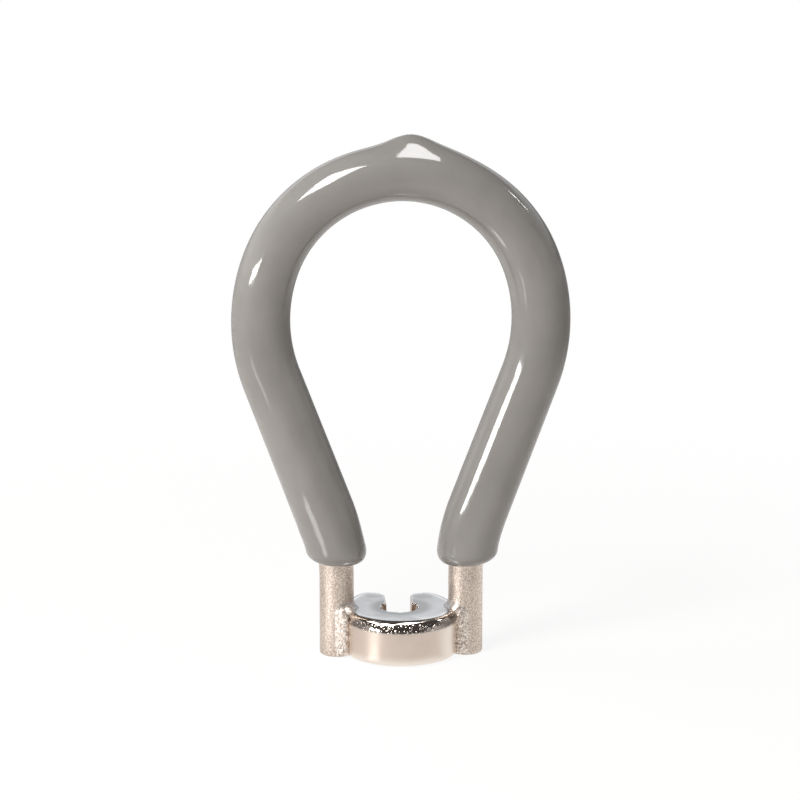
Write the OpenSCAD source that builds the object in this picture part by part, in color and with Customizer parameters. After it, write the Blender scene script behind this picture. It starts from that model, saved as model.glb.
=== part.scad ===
// Loop-handled spoke wrench: a bent rod, a brazed C-shaped head and a dipped vinyl grip.
// Origin at the middle of the head's bottom face, +Z up the handle, mouth towards +Y.

/* [Rod] */
// Diameter of the rod
rod_d = 4.76; // [4:0.02:6]
// Distance between the centres of the two legs
leg_spacing = 17.9; // [17:0.1:20]
// Straight length of each leg above the base
leg_len = 11; // [9:0.5:16]
// Chamfer round the foot of each leg
foot_chamfer = 0.4; // [0.1:0.1:1]
// Bend radius where the legs turn outwards into the arms
leg_bend_r = 27; // [15:1:40]
// Lean of the straight arms from upright, in degrees
flare_angle = 20.6; // [15:0.1:26]
// Bend radius of the loop's sides
side_bend_r = 23.3; // [20:0.1:28]
// Bend radius of the crown
crown_bend_r = 18.9; // [16:0.1:20]
// Half angle of the crown's tighter bend, in degrees
crown_half_angle = 69; // [50:1:75]

/* [Head] */
// Diameter of the head
head_d = 15.88; // [14:0.02:17.5]
// Thickness of the head
head_t = 6.36; // [5:0.02:8]
// Rounding of the head's top edge
top_edge_r = 1.1; // [0.4:0.1:1.6]
// Rounding of the head's bottom edge
bottom_edge_r = 0.6; // [0.2:0.1:1.6]

/* [Socket] */
// Diameter of the round socket between its splines
socket_d = 4.9; // [4.2:0.1:6]
// Number of spline grooves in a full ring
spline_count = 9; // [6:1:12]
// Radius of each spline groove
spline_r = 0.35; // [0.2:0.05:0.5]
// Lead-in chamfer at both ends of the socket
lead_in = 0.3; // [0.1:0.05:0.6]
// Width of the mouth that lets the spoke in
mouth_w = 3.4; // [2.4:0.1:4]
// Rounding of the two tips beside the mouth
tip_r = 1.1; // [0.4:0.1:1.6]

/* [Braze] */
// Fillet radius of the braze in the crevices beside the legs
crevice_r = 1; // [0.5:0.1:1.6]
// Fillet radius of the braze collar on top of the head
collar_r = 0.7; // [0.3:0.1:1.2]
// Thickness of the braze where it runs out
braze_edge = 0.12; // [0.05:0.01:0.3]
// Film between bonded pieces
bond_gap = 0.02; // [0.01:0.01:0.1]

/* [Grip] */
// Wall of the vinyl round the crown and the sides
crown_wall = 1.52; // [1:0.02:2.5]
// Wall of the vinyl at the lower ends of the arms
lip_wall = 1.86; // [1.4:0.02:3]
// Distance up the bend, above the straight legs, where the vinyl starts
dip_line = 2.4; // [1.5:0.1:4]
// Rounding of the vinyl's lower lips
lip_r = 1.2; // [0.5:0.1:1.3]
// Rise of the drip's flanks above the crown, before the peak is rounded
drip_rise = 1.8; // [1:0.1:2.4]
// Distance from the peak to where each flank runs into the crown
drip_half = 6; // [4:0.5:6.5]
// How much narrower the drip is than the skin, all round
drip_inset = 0.4; // [0.2:0.1:1]

/* [Hidden] */
$fn = 96;

// Cutting tools run this far past the faces that they cut
over = 1;
// A ball fills each joint of the loop: the stretches stop short of it and it stands proud by a hair
joint_gap = 0.06;
joint_proud = 0.01;
// A cut round starts this far outside the surface that it runs out of
run_out = 0.05;

rod_r = rod_d / 2;
leg_x = leg_spacing / 2;
head_r = head_d / 2;
socket_r = socket_d / 2;

// Loop centreline in the XZ plane, from the leg up: bend, arm, side, crown
arm_dir = [sin(flare_angle), cos(flare_angle)];
crown_dir = [sin(crown_half_angle), cos(crown_half_angle)];
bend_at = [leg_x + leg_bend_r, leg_len];
arm_foot = bend_at + leg_bend_r * [-arm_dir[1], arm_dir[0]];
side_x = (crown_bend_r - side_bend_r) * crown_dir[0];
arm_len = (side_x + side_bend_r * arm_dir[1] - arm_foot[0]) / arm_dir[0];
arm_head = arm_foot + arm_len * arm_dir;
side_at = arm_head + side_bend_r * [-arm_dir[1], arm_dir[0]];
crown_at = [0, side_at[1] - (crown_bend_r - side_bend_r) * crown_dir[1]];
crown_end = crown_at + crown_bend_r * crown_dir;

// Vinyl radii at the crown and at the lower ends, and where the skin starts on the bend
skin_r = rod_r + crown_wall;
lip_skin_r = rod_r + lip_wall;
dip_angle = degrees(dip_line, leg_bend_r);

// Drip: two straight flanks that leave the crown's outside and meet in a round peak
crown_out = crown_bend_r + skin_r;
drip_r = skin_r - drip_inset;
drip_fall = crown_out + drip_rise - sqrt(crown_out * crown_out - drip_half * drip_half);
drip_slope = atan2(drip_fall, drip_half);
drip_at = crown_at + [0, crown_out + drip_rise - drip_r / cos(drip_slope)];
drip_run = (crown_out + drip_rise) * sin(drip_slope);

// Angle that a length along an arc takes up
function degrees(length, r) = length / r * 180 / PI;

// Draws its children on the right half of the loop and mirrors them to the left
module both_sides() {
    children();
    mirror([1, 0, 0]) children();
}

// Round arc about an axis along Y, between two angles above +X, stopping short of its joints
module arc(at, bend_r, r, from, to) {
    gap = degrees(joint_gap, bend_r);
    translate([at[0], 0, at[1]]) rotate([90, 0, 0])
        rotate_extrude(angle = to - from - 2 * gap, start = from + gap)
            translate([bend_r, 0]) circle(r);
}

// Ball in a joint of the loop
module joint(at, r) {
    translate([at[0], 0, at[1]]) sphere(r + joint_proud);
}

// Straight bar that leans outwards from a joint
module bar(at, lean, length, r1, r2) {
    translate([at[0], 0, at[1]]) rotate([0, lean, 0])
        translate([0, 0, joint_gap]) cylinder(h = length - 2 * joint_gap, r1 = r1, r2 = r2);
}

// Bar along the loop from the arms' feet over the crown, with one radius low and one above
module loop_bar(low_r, top_r) {
    both_sides() {
        joint(arm_foot, low_r);
        bar(arm_foot, flare_angle, arm_len, low_r, top_r);
        joint(arm_head, top_r);
        arc(side_at, side_bend_r, top_r, -flare_angle, 90 - crown_half_angle);
        joint(crown_end, top_r);
    }
    arc(crown_at, crown_bend_r, top_r, 90 - crown_half_angle, 90 + crown_half_angle);
}

// Whole rod, larger by a film where it cuts its bed in the vinyl
module rod_solid(grow = 0) {
    r = rod_r + grow;
    both_sides() {
        translate([leg_x, 0, 0]) {
            cylinder(h = foot_chamfer, r1 = r - foot_chamfer, r2 = r);
            translate([0, 0, foot_chamfer]) cylinder(h = leg_len - foot_chamfer - joint_gap, r = r);
        }
        joint([leg_x, leg_len], r);
        arc(bend_at, leg_bend_r, r, 180 - flare_angle, 180);
    }
    loop_bar(r, r);
}

// What is cut off an outer corner at the origin to leave a round of radius r
module corner_waste(r) {
    difference() {
        translate([-r, -r]) square(r + over);
        translate([-r, -r]) circle(r);
    }
}

// Round head without its cuts, larger by a film where it beds the braze
module head_blank(grow = 0) {
    r = head_r + grow;
    rotate_extrude() difference() {
        translate([0, -grow]) square([r, head_t + 2 * grow]);
        translate([r, head_t + grow]) corner_waste(top_edge_r);
        translate([r, -grow]) mirror([0, 1]) corner_waste(bottom_edge_r);
    }
}

// Socket bore with its ring of spline grooves and a lead-in at each end
module socket_cut() {
    through = head_t + 2 * over;
    translate([0, 0, -over]) {
        cylinder(h = through, r = socket_r);
        for (i = [0 : spline_count - 1])
            rotate(90 + (i + 0.5) * 360 / spline_count)
                translate([socket_r, 0, 0]) cylinder(h = through, r = spline_r, $fn = 32);
    }
    for (end = [0, 1])
        translate([0, 0, end * head_t]) mirror([0, 0, end]) translate([0, 0, -over])
            cylinder(h = lead_in + 2 * over, r1 = socket_r + lead_in + over, r2 = socket_r - over);
}

// Plan of the mouth, with the tips beside it rounded
module mouth_plan() {
    tip_x = mouth_w / 2 + tip_r;
    tip_reach = head_r + run_out - tip_r;
    tip_y = sqrt(tip_reach * tip_reach - tip_x * tip_x);
    far = (head_r + over) / tip_reach;
    translate([-mouth_w / 2, 0]) square([mouth_w, head_r + over]);
    for (side = [0, 1]) mirror([side, 0]) difference() {
        polygon([[0, tip_y], [tip_x, tip_y], far * [tip_x, tip_y], [0, head_r + over]]);
        translate([tip_x, tip_y]) circle(tip_r);
    }
}

// Plan that the braze on the right leg keeps to: the head and the two crevices beside the leg
module braze_plan() {
    head_out = head_r + crevice_r - braze_edge;
    leg_out = rod_r + crevice_r - braze_edge;
    x = (leg_x * leg_x + head_out * head_out - leg_out * leg_out) / leg_spacing;
    y = sqrt(head_out * head_out - x * x);
    circle(head_r);
    for (side = [0, 1]) mirror([0, side]) difference() {
        polygon([[0, 0], [leg_x, 0], [x, y]]);
        translate([x, y]) circle(crevice_r);
    }
}

// Braze on the right leg: a fillet down each crevice and a collar round the leg on top of the head
module braze() {
    shoulder = head_t - top_edge_r;
    collar_w = collar_r + braze_edge;
    collar_out = rod_r + bond_gap + collar_w;
    collar_top = head_t + bond_gap + collar_w;
    difference() {
        intersection() {
            translate([leg_x, 0, 0]) rotate_extrude() difference() {
                translate([0, bottom_edge_r]) square([leg_x, collar_top - bottom_edge_r]);
                translate([collar_out, shoulder]) square([leg_x, collar_top]);
                translate([collar_out, collar_top]) circle(collar_r);
            }
            linear_extrude(collar_top + over) braze_plan();
        }
        head_blank(bond_gap);
        translate([leg_x, 0, -over]) cylinder(h = leg_len, r = rod_r + bond_gap);
    }
}

// Vinyl skin before the rod is taken out of it
module skin_solid() {
    both_sides() {
        difference() {
            arc(bend_at, leg_bend_r, lip_skin_r, 180 - flare_angle, 180 - dip_angle);
            translate([bend_at[0], 0, bend_at[1]]) rotate([0, dip_angle, 0]) translate([-leg_bend_r, 0, 0])
                rotate_extrude() translate([lip_skin_r + run_out, 0]) mirror([0, 1]) corner_waste(lip_r);
        }
        bar(drip_at, 90 + drip_slope, drip_run, drip_r, drip_r);
    }
    loop_bar(lip_skin_r, skin_r);
    joint(drip_at, drip_r);
}

module handle_rod() {
    color("#b9a99b") rod_solid();
}

module nipple_head() {
    color("#c9bbb0") difference() {
        head_blank();
        for (side = [-1, 1])
            translate([side * leg_x, 0, -over]) cylinder(h = head_t + 2 * over, r = rod_r + bond_gap);
        socket_cut();
        translate([0, 0, -over]) linear_extrude(head_t + 2 * over) mouth_plan();
    }
}

module left_braze() {
    color("#d8cbbf") mirror([1, 0, 0]) braze();
}

module right_braze() {
    color("#d8cbbf") braze();
}

module vinyl_grip() {
    color("#8f8f8b") difference() {
        skin_solid();
        rod_solid(bond_gap);
    }
}

handle_rod();
nipple_head();
left_braze();
right_braze();
vinyl_grip();
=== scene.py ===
"""Looks of a loop-handled spoke wrench: bent rod, slotted head, braze and dipped grip.

Fields hold sizes in millimetres, and the meshes are in metres. The frame is the CAD part's own: the
origin lies on the socket's axis at the head's bottom face, +Z runs up the handle, X runs from leg to
leg and the mouth opens towards +Y. The camera stands on the -Y side, which is called the front.
"""

import logging
import math
from collections.abc import Sequence
from dataclasses import dataclass, field
from enum import Enum

import bmesh
import bpy
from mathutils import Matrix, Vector, noise


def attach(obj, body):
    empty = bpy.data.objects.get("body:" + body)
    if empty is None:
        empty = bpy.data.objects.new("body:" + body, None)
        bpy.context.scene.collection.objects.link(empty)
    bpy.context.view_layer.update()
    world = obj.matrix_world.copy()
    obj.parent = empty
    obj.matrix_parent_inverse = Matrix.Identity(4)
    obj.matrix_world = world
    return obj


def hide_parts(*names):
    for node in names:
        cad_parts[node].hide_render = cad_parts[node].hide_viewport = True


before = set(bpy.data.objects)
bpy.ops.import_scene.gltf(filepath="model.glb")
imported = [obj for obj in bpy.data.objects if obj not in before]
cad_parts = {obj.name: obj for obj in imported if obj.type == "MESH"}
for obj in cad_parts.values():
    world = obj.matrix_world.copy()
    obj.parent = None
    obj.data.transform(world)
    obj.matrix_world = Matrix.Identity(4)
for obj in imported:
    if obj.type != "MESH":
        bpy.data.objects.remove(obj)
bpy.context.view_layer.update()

LOG = logging.getLogger("spoke_wrench")
MM = 0.001
BODY = "root"
RISING = (0.0, 1.0)
FALLING = (1.0, 0.0)
# Middle of the wrench, which the camera and most lamps face.
MIDDLE = (-0.15, 0.0, 36.12)
# Pieces that a card can be meant for.
ON_HEAD = ("head",)
ON_GRIP = ("grip",)
ON_BARE_METAL = ("rod", "left_bead", "right_bead")
ON_RIGHT_LEG = ("rod", "right_bead")

Colour = tuple[float, float, float]
Point2 = tuple[float, float]
Point3 = tuple[float, float, float]
# Distance along the path, outer radius and bed radius of one ring of a sweep.
Ring = tuple[float, float, float]
Socket = bpy.types.NodeSocket
Sockets = bpy.types.bpy_prop_collection


class Slot(Enum):
    """Names of the material slots."""

    ROD = "blasted_nickel"
    HEAD = "satin_nickel"
    BRAZE = "braze_nickel"
    GRIP = "grey_vinyl"


class Side(Enum):
    """Side of the wrench as the camera sees it, with its sign along X."""

    LEFT = -1
    RIGHT = 1


class SeenBy(Enum):
    """Surfaces that a lamp shows up on, as diffuse and glossy visibility."""

    ALL = (True, True)
    GLOSSY = (False, True)
    MATT = (True, False)


class Ray(Enum):
    """Kinds of ray that the stage answers to, by the output of Light Path."""

    CAMERA = "Is Camera Ray"
    GLOSSY = "Is Glossy Ray"
    THROUGH = "Is Transmission Ray"


def clamp(value: float) -> float:
    """Holds a value between 0 and 1."""
    return min(1.0, max(0.0, value))


def ramp(value: float, ends: Point2) -> float:
    """Share of the way from the first end to the second, held between 0 and 1."""
    return clamp((value - ends[0]) / (ends[1] - ends[0]))


def metres(sizes: Sequence[float]) -> tuple[float, ...]:
    """Turns sizes in millimetres into metres."""
    return tuple(size * MM for size in sizes)


def quarter_turn(steps: int) -> list[float]:
    """Lists the angles of a quarter circle in radians, with both of its ends."""
    return [math.radians(90 * i / steps) for i in range(steps + 1)]


def grey(level: float) -> tuple[float, float, float, float]:
    """Opaque grey of one level."""
    return level, level, level, 1.0


class NodeGraph:
    """Adds nodes to one tree and links them as they are added."""

    def __init__(self, tree: bpy.types.NodeTree) -> None:
        """Keeps the tree that the nodes go into."""
        self.tree = tree

    def add(self, kind: str, inputs: dict | None = None, **settings: object) -> bpy.types.Node:
        """Adds a node with its settings and inputs.

        Args:
            kind: Blender's name for the type of node.
            inputs: Values or output sockets, by input name, index or identifier.
            settings: Properties of the node.

        Returns:
            The new node.
        """
        node = self.tree.nodes.new(kind)
        for name, value in settings.items():
            setattr(node, name, value)
        self.feed(node, inputs or {})
        return node

    def feed(self, node: bpy.types.Node, inputs: dict) -> None:
        """Sets or links inputs of a node.

        Args:
            node: Node of this tree.
            inputs: Values or output sockets, by input name, index or identifier.
        """
        by_identifier = {socket.identifier: socket for socket in node.inputs}
        for key, value in inputs.items():
            socket = by_identifier[key] if key in by_identifier else node.inputs[key]
            if isinstance(value, Socket):
                self.tree.links.new(value, socket)
            else:
                socket.default_value = value

    def math(self, operation: str, *values: object) -> Socket:
        """Adds one step of arithmetic on numbers or sockets."""
        return self.add("ShaderNodeMath", dict(enumerate(values)), operation=operation).outputs[0]

    def length(self, vector: Socket) -> Socket:
        """Adds the length of a vector."""
        return self.add("ShaderNodeVectorMath", {0: vector}, operation="LENGTH").outputs["Value"]

    def split(self, vector: Socket) -> Sockets:
        """Adds the X, Y and Z of a vector."""
        return self.add("ShaderNodeSeparateXYZ", {0: vector}).outputs

    def mix(self, factor: object, low: object, high: object) -> Socket:
        """Mixes two colours.

        Args:
            factor: Share of the second colour.
            low: First colour.
            high: Second colour.

        Returns:
            The mixed colour's socket.
        """
        inputs = {"Factor_Float": factor, "A_Color": low, "B_Color": high}
        node = self.add("ShaderNodeMix", inputs, data_type="RGBA")
        return next(s for s in node.outputs if s.identifier == "Result_Color")

    def remap(self, value: object, source: Point2, target: Point2, smooth: bool = True) -> Socket:
        """Moves a value from one range to another and holds it there.

        Args:
            value: Number or socket.
            source: Range that comes in.
            target: Range that goes out.
            smooth: Whether the ends are eased.

        Returns:
            The moved value's socket.
        """
        inputs = {0: value, 1: source[0], 2: source[1], 3: target[0], 4: target[1]}
        ease = "SMOOTHSTEP" if smooth else "LINEAR"
        return self.add("ShaderNodeMapRange", inputs, interpolation_type=ease).outputs[0]

    def group(self, tree: bpy.types.NodeTree, inputs: dict) -> Sockets:
        """Places a node group.

        Args:
            tree: The group's own tree.
            inputs: Values or sockets by input name.

        Returns:
            The outputs of the group's node.
        """
        kind = "GeometryNodeGroup" if tree.bl_idname == "GeometryNodeTree" else "ShaderNodeGroup"
        return self.add(kind, inputs, node_tree=tree).outputs

    def noise(self, place: Socket, scale: object, detail: float, roughness: float = 0.5) -> Socket:
        """Adds a noise texture.

        Args:
            place: Coordinates.
            scale: Waves per metre.
            detail: Count of finer layers.
            roughness: Weight of the finer layers.

        Returns:
            The noise's socket.
        """
        inputs = {"Vector": place, "Scale": scale, "Detail": detail, "Roughness": roughness}
        return self.add("ShaderNodeTexNoise", inputs).outputs[0]

    def cells(self, place: Socket, scale: object) -> Socket:
        """Adds a texture of scattered cells.

        Args:
            place: Coordinates.
            scale: Cells per metre.

        Returns:
            The socket of the distance to the nearest cell's middle.
        """
        inputs = {"Vector": place, "Scale": scale, "Randomness": 1.0}
        return self.add("ShaderNodeTexVoronoi", inputs).outputs["Distance"]

    def bump(self, strength: float, depth: float, height: Socket) -> Socket:
        """Adds a relief.

        Args:
            strength: Share of the relief that shows.
            depth: Its depth in millimetres.
            height: Height as a share of the depth.

        Returns:
            The normal's socket.
        """
        inputs = {"Strength": strength, "Distance": depth * MM, "Height": height}
        return self.add("ShaderNodeBump", inputs).outputs[0]

    def mask(self, name: str) -> Socket:
        """Adds the value of a mask that the mesh carries."""
        return self.add("ShaderNodeAttribute", attribute_name=name).outputs["Fac"]

    def object_place(self) -> Socket:
        """Adds the coordinates of the object's own frame."""
        return self.add("ShaderNodeTexCoord").outputs["Object"]

    def seen(self, *rays: Ray) -> Socket:
        """Adds a switch that is 1 for the given kinds of ray.

        Args:
            rays: Kinds of ray.

        Returns:
            The switch's socket.
        """
        path = self.add("ShaderNodeLightPath").outputs
        value = path[rays[0].value]
        for ray in rays[1:]:
            value = self.math("MAXIMUM", value, path[ray.value])
        return value

    def named(self, label: str) -> Socket:
        """Adds the value of a named attribute of the geometry."""
        return self.add("GeometryNodeInputNamedAttribute", {"Name": label}).outputs[0]

    def position(self) -> Sockets:
        """Adds the X, Y and Z of the geometry's points."""
        return self.split(self.add("GeometryNodeInputPosition").outputs[0])

    def end_mesh(self, mesh: Socket, finish: Socket) -> None:
        """Ends a Geometry Nodes tree with smooth shading, real geometry and the finish.

        Args:
            mesh: The shape.
            finish: Its material.
        """
        smooth = self.add("GeometryNodeSetShadeSmooth", {"Geometry": mesh}).outputs[0]
        real = self.add("GeometryNodeRealizeInstances", {"Geometry": smooth}).outputs[0]
        dressed = self.add("GeometryNodeSetMaterial", {"Geometry": real, "Material": finish}).outputs[0]
        self.add("NodeGroupOutput", {"Mesh": dressed})


def new_tree(name: str, kind: str, inputs: dict[str, str], outputs: dict[str, str]) -> NodeGraph:
    """Makes an empty tree with named sockets.

    Args:
        name: Name of the tree.
        kind: GeometryNodeTree or ShaderNodeTree.
        inputs: Socket types by input name.
        outputs: Socket types by output name.

    Returns:
        The tree, ready for nodes.
    """
    tree = bpy.data.node_groups.new(name, kind)
    for in_out, sockets in (("INPUT", inputs), ("OUTPUT", outputs)):
        for label, socket_type in sockets.items():
            tree.interface.new_socket(label, in_out=in_out, socket_type=socket_type)
    return NodeGraph(tree)


def bare_graph(owner: bpy.types.ID) -> NodeGraph:
    """Clears the nodes of a material or a world.

    Args:
        owner: The material or world.

    Returns:
        Its empty graph.
    """
    owner.use_nodes = True
    owner.node_tree.nodes.clear()
    return NodeGraph(owner.node_tree)


def link_object(name: str, data: bpy.types.ID) -> bpy.types.Object:
    """Puts a mesh, a lamp or a camera in the scene as an object at the origin.

    Args:
        name: Name of the object.
        data: What it shows.

    Returns:
        The object.
    """
    thing = bpy.data.objects.new(name, data)
    bpy.context.scene.collection.objects.link(thing)
    return thing


def carry(mesh: bpy.types.Mesh, values: dict[str, Sequence[float]]) -> None:
    """Lets the points of a mesh carry named values.

    Args:
        mesh: The mesh.
        values: One number for each point, by name.
    """
    for label, numbers in values.items():
        mesh.attributes.new(label, "FLOAT", "POINT").data.foreach_set("value", numbers)


def face_outwards(mesh: bpy.types.Mesh) -> None:
    """Turns all faces of a closed mesh outwards.

    Args:
        mesh: The mesh, which is changed in place.
    """
    shape = bmesh.new()
    shape.from_mesh(mesh)
    bmesh.ops.recalc_face_normals(shape, faces=shape.faces)
    shape.to_mesh(mesh)
    shape.free()


def grow(name: str, seed: bpy.types.Mesh, tree: bpy.types.NodeTree, values: dict) -> bpy.types.Object:
    """Runs a Geometry Nodes tree on a mesh and keeps the result as a plain mesh.

    Args:
        name: Name of the finished piece.
        seed: Mesh that the tree starts from.
        tree: Geometry Nodes tree.
        values: The tree's input values by name.

    Returns:
        The finished piece, with no modifier left on it.
    """
    starter = link_object(name + "_seed", seed)
    modifier = starter.modifiers.new("grow", "NODES")
    modifier.node_group = tree
    for item in tree.interface.items_tree:
        if item.item_type == "SOCKET" and item.in_out == "INPUT" and item.name in values:
            modifier[item.identifier] = values[item.name]
    depsgraph = bpy.context.evaluated_depsgraph_get()
    mesh = bpy.data.meshes.new_from_object(starter.evaluated_get(depsgraph), depsgraph=depsgraph)
    mesh.name = name
    bpy.data.objects.remove(starter)
    face_outwards(mesh)
    return link_object(name, mesh)


def settle(piece: bpy.types.Object, node: str) -> bpy.types.Object:
    """Rides a piece on the frame and lets it stand for its CAD node.

    Args:
        piece: The finished piece.
        node: CAD node that it stands for.

    Returns:
        The same piece.
    """
    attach(piece, BODY)
    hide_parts(node)
    return piece


class SharedGroup:
    """Node group that is built on its first use and shared from then on."""

    NAME = ""

    @classmethod
    def tree(cls) -> bpy.types.NodeTree:
        """Returns the group, built on its first use."""
        return bpy.data.node_groups.get(cls.NAME) or cls.build()

    @classmethod
    def build(cls) -> bpy.types.NodeTree:
        """Builds the group, which each kind of group does in its own way."""
        raise NotImplementedError(cls.NAME)


class GrainGroup(SharedGroup):
    """Shader group for a blasted surface: packed grains with a height, a glint and a shade."""

    NAME = "blasted_grain"
    DETAIL = 2.0
    ROUGHNESS = 0.6
    CELLS_PER_GRAIN = 2.3
    CELL_HEIGHT = -0.45
    GLINT = (0.52, 0.68)
    SHADE = (0.05, 0.45)

    @classmethod
    def build(cls) -> bpy.types.NodeTree:
        """Builds the group.

        Returns:
            The new tree.
        """
        number, vector = "NodeSocketFloat", "NodeSocketVector"
        graph = new_tree(
            cls.NAME, "ShaderNodeTree",
            {"Vector": vector, "Scale": number},
            {"Height": number, "Glint": number, "Shade": number},
        )
        source = graph.add("NodeGroupInput").outputs
        coarse = graph.noise(source["Vector"], source["Scale"], cls.DETAIL, cls.ROUGHNESS)
        cell_scale = graph.math("MULTIPLY", source["Scale"], cls.CELLS_PER_GRAIN)
        cells = graph.cells(source["Vector"], cell_scale)
        height = graph.math("MULTIPLY_ADD", cells, cls.CELL_HEIGHT, coarse)
        glint = graph.remap(coarse, cls.GLINT, RISING)
        shade = graph.remap(height, cls.SHADE, RISING)
        graph.add("NodeGroupOutput", {"Height": height, "Glint": glint, "Shade": shade})
        return graph.tree


class CloudGroup(SharedGroup):
    """Shader group for the slow unevenness and the specks of a dipped or plated skin."""

    NAME = "slow_cloud"
    DETAIL = 3.0
    SPECKS_PER_CLOUD = 14.0
    SPECK_EDGE = (0.1, 0.2)

    @classmethod
    def build(cls) -> bpy.types.NodeTree:
        """Builds the group.

        Returns:
            The new tree.
        """
        number, vector = "NodeSocketFloat", "NodeSocketVector"
        graph = new_tree(
            cls.NAME, "ShaderNodeTree",
            {"Vector": vector, "Scale": number},
            {"Cloud": number, "Speck": number},
        )
        source = graph.add("NodeGroupInput").outputs
        cloud = graph.noise(source["Vector"], source["Scale"], cls.DETAIL)
        speck_scale = graph.math("MULTIPLY", source["Scale"], cls.SPECKS_PER_CLOUD)
        speck = graph.remap(graph.cells(source["Vector"], speck_scale), cls.SPECK_EDGE, FALLING)
        graph.add("NodeGroupOutput", {"Cloud": cloud, "Speck": speck})
        return graph.tree


def new_material(name: str) -> tuple[bpy.types.Material, NodeGraph, bpy.types.Node]:
    """Makes a material with only its shader and output.

    Args:
        name: Name of the material.

    Returns:
        The material, its graph and its shader node.
    """
    material = bpy.data.materials.new(name)
    graph = bare_graph(material)
    shader = graph.add("ShaderNodeBsdfPrincipled")
    graph.add("ShaderNodeOutputMaterial", {"Surface": shader.outputs[0]})
    return material, graph, shader


@dataclass(frozen=True)
class BlastedNickel:
    """Nickel plate over a bead-blasted surface: sandy, warm and half dull.

    With a mask, the sand stands out only under it, and the collar's mask marks a cooler tone.
    """

    name: str
    plate: Colour = (0.84, 0.725, 0.635)
    pit: Colour = (0.42, 0.34, 0.285)
    grains_per_metre: float = 4800.0
    clouds_per_metre: float = 320.0
    worn_cloud: Point2 = (0.35, 0.7)
    worn_share: float = 0.18
    bump: float = 0.85
    bump_depth: float = 0.045
    roughness: Point2 = (0.28, 0.44)
    mask: str = ""
    unmasked_bump: float = 0.1
    collar_mask: str = ""
    collar: Colour = (0.60, 0.59, 0.58)

    def material(self) -> bpy.types.Material:
        """Builds the material.

        Returns:
            The new material.
        """
        material, graph, shader = new_material(self.name)
        place = graph.object_place()
        grain = graph.group(GrainGroup.tree(), {"Vector": place, "Scale": self.grains_per_metre})
        cloud = graph.group(CloudGroup.tree(), {"Vector": place, "Scale": self.clouds_per_metre})
        tone = graph.mix(grain["Shade"], (*self.pit, 1), (*self.plate, 1))
        worn = graph.remap(cloud["Cloud"], self.worn_cloud, (0.0, self.worn_share))
        colour = graph.mix(worn, tone, (*self.pit, 1))
        height = grain["Height"]
        if self.mask:
            sandy = graph.remap(graph.mask(self.mask), RISING, (self.unmasked_bump, 1.0))
            height = graph.math("MULTIPLY", height, sandy)
            colour = graph.mix(graph.mask(self.collar_mask), colour, (*self.collar, 1))
        graph.feed(shader, {
            "Base Color": colour,
            "Roughness": graph.remap(grain["Glint"], RISING, self.roughness[::-1]),
            "Normal": graph.bump(self.bump, self.bump_depth, height),
            "Metallic": 1.0,
        })
        return material


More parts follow.
